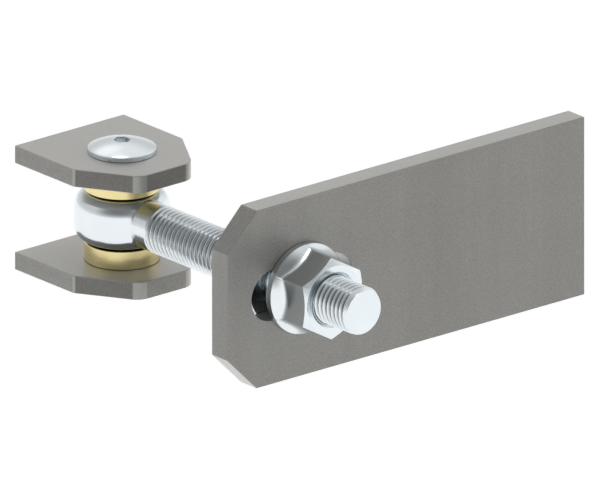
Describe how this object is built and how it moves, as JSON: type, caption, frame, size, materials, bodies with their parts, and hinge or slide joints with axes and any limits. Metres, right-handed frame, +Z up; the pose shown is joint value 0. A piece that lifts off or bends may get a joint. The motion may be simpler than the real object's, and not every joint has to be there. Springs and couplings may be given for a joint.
{
  "type": "gate strap hinge",
  "caption": "Adjustable weld-on gate hinge: an eye bolt swings on a cross pin between post ears and carries a slotted strap plate clamped by flange nuts.",
  "frame": {"origin": "where the cross pin's axis crosses the eye bolt's axis, midway between the ears", "axes": "+Z up along the cross pin towards its head, +X along the eye bolt to its free end, +Y along the strap plate away from its slotted end"},
  "size_m": [0.1463, 0.149, 0.0604],
  "materials": {
    "raw_steel": "raw rolled",
    "zinc_plated_steel": "bright zinc plated",
    "brass": "turned, satin"
  },
  "bodies": {
    "post_bracket": {"upper_ear": "raw_steel", "lower_ear": "raw_steel", "hinge_pin": "zinc_plated_steel", "upper_bush": "brass", "lower_bush": "brass"},
    "eye_bolt": {"eye_bolt": "zinc_plated_steel"},
    "inner_nut": {"inner_nut": "zinc_plated_steel"},
    "outer_nut": {"outer_nut": "zinc_plated_steel"},
    "strap_plate": {"strap_plate": "raw_steel"}
  },
  "joints": [
    {"name": "gate_swing", "type": "hinge", "parent": "post_bracket", "child": "eye_bolt", "pos_m": [0, 0, 0], "axis": [0, 0, 1], "range_deg": [-90, 90]},
    {"name": "outer_nut_turn", "type": "hinge", "parent": "inner_nut", "child": "outer_nut", "pos_m": [0, 0, 0], "axis": [1, 0, 0], "range_deg": [-7740, 2430]},
    {"name": "depth_adjust", "type": "slide", "parent": "eye_bolt", "child": "inner_nut", "axis": [1, 0, 0], "range_m": [-0.043, 0.0135]},
    {"name": "slot_adjust", "type": "slide", "parent": "inner_nut", "child": "strap_plate", "axis": [0, 1, 0], "range_m": [-0.0125, 0.0125]}
  ],
  "couplings": [
    {"joint": "outer_nut_turn", "follows": "depth_adjust", "rad_per_m": 3141.6}
  ]
}
